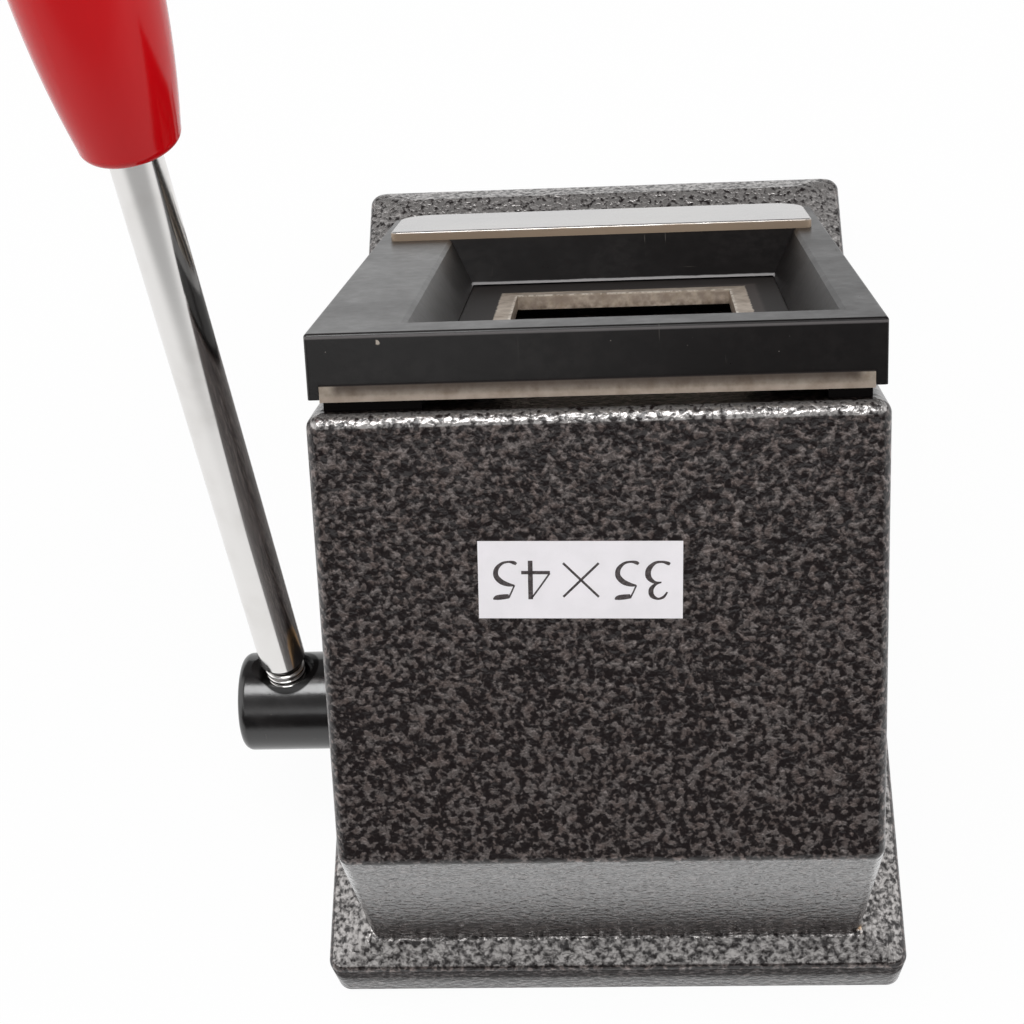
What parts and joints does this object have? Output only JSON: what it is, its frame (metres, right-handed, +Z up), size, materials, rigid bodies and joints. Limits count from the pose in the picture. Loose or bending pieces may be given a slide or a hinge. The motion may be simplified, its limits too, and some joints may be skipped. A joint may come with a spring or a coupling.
{
  "type": "desktop card die cutter",
  "caption": "Hand-lever desk cutter: a lever and cam push a punch through a slanted die window that cuts small cards or photos from a sheet.",
  "frame": {"origin": "middle of the base, on the ground below the rubber sheet", "axes": "+Z up, +X towards the lever's side, +Y towards the rear face that carries the size label, -Y towards the operator"},
  "size_m": [0.1211, 0.159, 0.2077],
  "materials": {
    "hammertone_paint": "grey-brown hammertone paint",
    "black_satin": "satin black finish",
    "ground_steel": "ground steel",
    "polished_steel": "polished steel",
    "chrome_rod": "chromed steel",
    "red_plastic": "glossy moulded plastic",
    "paper": "white paper with plain grey numerals",
    "bronze": "sintered bronze",
    "tool_steel": "ground tool steel",
    "dark_steel": "blackened steel",
    "spring_steel": "oiled spring steel",
    "rubber": "black anti-slip rubber"
  },
  "bodies": {
    "block": {"body_casting": "hammertone_paint", "bottom_cover": "black_satin", "cover_screws": "dark_steel", "rubber_base_sheet": "rubber", "shaft_bush_lever_side": "bronze", "shaft_bush_far_side": "bronze", "guide_pins": "tool_steel", "guide_pin_clips": "spring_steel", "guide_rail_wide": "ground_steel", "guide_rail_narrow": "ground_steel", "card_stop_bar": "ground_steel", "die_plate": "ground_steel", "die_dowels": "tool_steel", "die_plate_screws": "dark_steel", "funnel_frame": "black_satin", "frame_screws": "dark_steel", "trim_strip": "polished_steel", "size_label": "paper", "return_spring_lower": "spring_steel", "return_spring_upper": "spring_steel"},
    "lever": {"lever_shaft": "black_satin", "lever_rod": "chrome_rod", "lever_grip": "red_plastic", "lift_cam": "tool_steel", "cam_set_screw": "dark_steel", "shaft_retaining_ring": "spring_steel", "stop_collar": "tool_steel", "stop_screw": "dark_steel"},
    "ram": {"ram_block": "tool_steel", "thrust_pad": "tool_steel", "punch": "tool_steel", "punch_screws": "dark_steel"}
  },
  "joints": [
    {"name": "lever_swing", "type": "hinge", "parent": "block", "child": "lever", "pos_m": [0, 0.03902, 0.02986], "axis": [1, 0, 0], "range_deg": [0, 60], "stiffness_Nm_per_rad": 0.126, "springref_deg": -104.28},
    {"name": "ram_slide", "type": "slide", "parent": "block", "child": "ram", "axis": [0, -0.7071, 0.7071], "range_m": [0, 0.0049], "deforming": ["return_spring_lower", "return_spring_upper"]}
  ],
  "couplings": [
    {"joint": "ram_slide", "follows": "lever_swing", "m_per_rad": 0.0045837}
  ]
}
